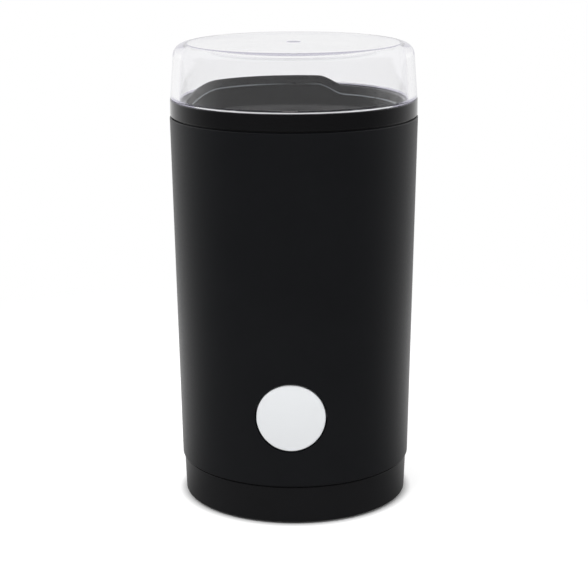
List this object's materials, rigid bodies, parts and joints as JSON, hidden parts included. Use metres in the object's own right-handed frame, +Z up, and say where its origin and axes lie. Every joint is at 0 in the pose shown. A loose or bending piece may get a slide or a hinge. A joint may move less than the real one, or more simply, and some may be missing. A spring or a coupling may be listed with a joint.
{
  "type": "electric spice grinder",
  "caption": "Upright electric spice grinder with a tapered black body, a round white push button and a thick clear lid over a steel bowl with a spinning blade.",
  "frame": {"origin": "middle of the footprint, at the feet's undersides", "axes": "+Z up along the turning axis, -Y towards the push button, +X to the right seen from the front"},
  "size_m": [0.0962, 0.0962, 0.18],
  "materials": {
    "black_plastic": "fine satin texture",
    "base_plastic": "satin",
    "collar_plastic": "gloss",
    "clear_plastic": "clear gloss",
    "white_plastic": "gloss",
    "inner_plastic": "matt",
    "natural_plastic": "matt",
    "bakelite": "matt",
    "black_rubber": "matt",
    "grey_silicone": "matt",
    "stainless": "brushed",
    "blade_steel": "ground",
    "plated_steel": "zinc plated",
    "shaft_steel": "ground",
    "lamination": "dark",
    "bronze": "sintered",
    "copper": "bare",
    "winding": "enamelled",
    "taped_coil": "enamelled, taped",
    "carbon": "matt",
    "spring_steel": "bright"
  },
  "bodies": {
    "housing": {"main_housing": "black_plastic", "base_cover": "base_plastic", "rubber_feet": "black_rubber", "base_screws": "plated_steel", "cord_gland": "black_rubber", "bowl_collar": "collar_plastic", "grinding_bowl": "stainless", "bowl_gasket": "grey_silicone", "motor_carrier": "inner_plastic", "shaft_seal": "black_rubber", "upper_bearing_bracket": "plated_steel", "lower_bearing_bracket": "bakelite", "stator_core": "lamination", "field_coils": "taped_coil", "motor_bolts": "plated_steel", "brush_holders": "plated_steel", "carbon_brushes": "carbon", "brush_springs": "spring_steel", "button_spring": "spring_steel", "switch_bracket": "natural_plastic", "bracket_screws": "plated_steel", "button_switch": "inner_plastic", "lid_switch": "inner_plastic", "switch_terminals": "copper", "interlock_spring": "spring_steel", "upper_bearing": "bronze", "lower_bearing": "bronze"},
    "rotor": {"motor_shaft": "shaft_steel", "armature_core": "lamination", "armature_winding": "winding", "commutator": "copper", "blade_hub": "base_plastic", "blade": "blade_steel", "blade_washer": "plated_steel", "blade_nut": "blade_steel"},
    "button": {"push_button": "white_plastic"},
    "button_plunger": {"button_switch_plunger": "white_plastic"},
    "lid": {"lid": "clear_plastic"},
    "interlock": {"interlock_rod": "natural_plastic"},
    "lid_plunger": {"lid_switch_plunger": "white_plastic"}
  },
  "joints": [
    {"name": "rotor_spin", "type": "hinge", "parent": "housing", "child": "rotor", "pos_m": [0, 0, 0.06], "axis": [0, 0, 1], "continuous": true},
    {"name": "button_press", "type": "slide", "parent": "housing", "child": "button", "axis": [0, 1, 0], "range_m": [0, 0.003], "stiffness_N_per_m": 300, "deforming": ["button_spring"]},
    {"name": "button_plunger_slide", "type": "slide", "parent": "housing", "child": "button_plunger", "axis": [0, 1, 0], "range_m": [0, 0.0012]},
    {"name": "lid_lift", "type": "slide", "parent": "housing", "child": "lid", "axis": [0, 0, 1], "range_m": [0, 0.06]},
    {"name": "interlock_slide", "type": "slide", "parent": "housing", "child": "interlock", "axis": [0, 0, 1], "range_m": [0, 0.003], "deforming": ["interlock_spring"]},
    {"name": "lid_plunger_slide", "type": "slide", "parent": "housing", "child": "lid_plunger", "axis": [0, 0, 1], "range_m": [0, 0.0012]}
  ],
  "couplings": [
    {"joint": "button_plunger_slide", "follows": "button_press", "ratio": 0.4},
    {"joint": "interlock_slide", "follows": "lid_lift", "ratio": 0.05},
    {"joint": "lid_plunger_slide", "follows": "lid_lift", "ratio": 0.02}
  ]
}
